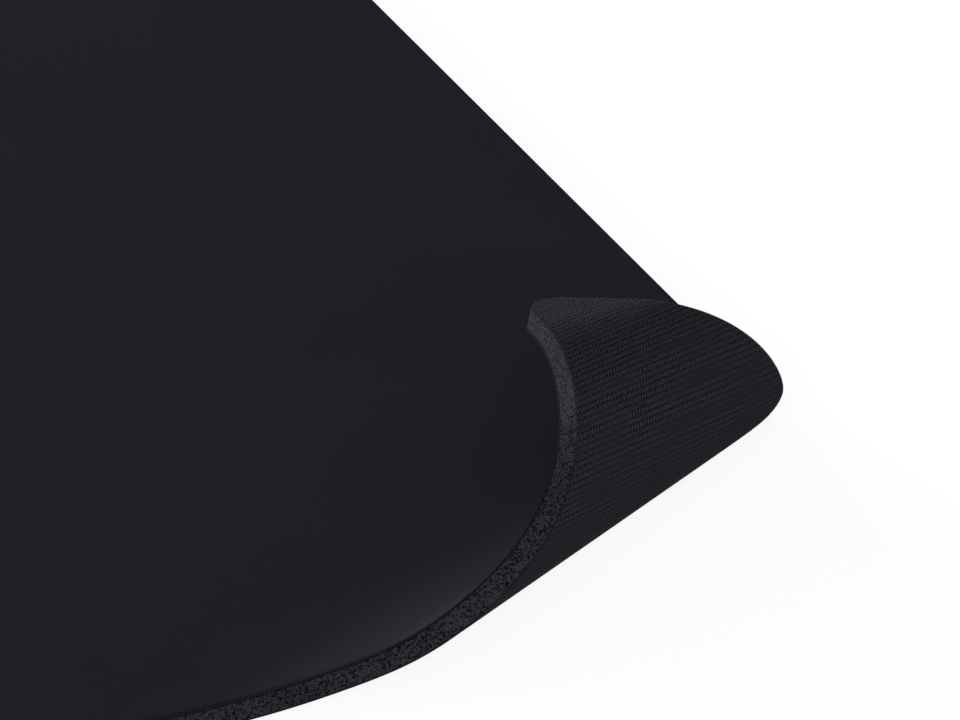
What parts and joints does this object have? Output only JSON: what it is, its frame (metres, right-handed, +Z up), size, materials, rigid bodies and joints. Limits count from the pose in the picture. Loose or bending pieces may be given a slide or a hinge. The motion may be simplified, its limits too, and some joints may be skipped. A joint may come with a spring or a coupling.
{
  "type": "mouse pad",
  "caption": "Thick rectangular cloth mouse pad on sponge rubber with a textured grip underside, lying flat with one front corner rolled up and over",
  "frame": {"origin": "centre of the pad's rectangle, on the surface that it lies on", "axes": "+X along the long side, +Y away from the user, +Z up out of the cloth"},
  "size_m": [0.4608, 0.4007, 0.0435],
  "materials": {
    "grip_skin": "dense black rubber skin, embossed with a fine herringbone, low sheen",
    "sponge_rubber": "black sponge rubber, cut open along the edge, so its fine pores show as speckle",
    "bonding_film": "thin black adhesive film, seen only as a dark line at the cut edge",
    "cloth": "tight black woven polyester, matt with a soft sheen at a low angle"
  },
  "bodies": {
    "root": {"grip_skin": "grip_skin", "sponge_rubber_core": "sponge_rubber", "bonding_film": "bonding_film", "cloth_surface": "cloth"}
  },
  "joints": []
}
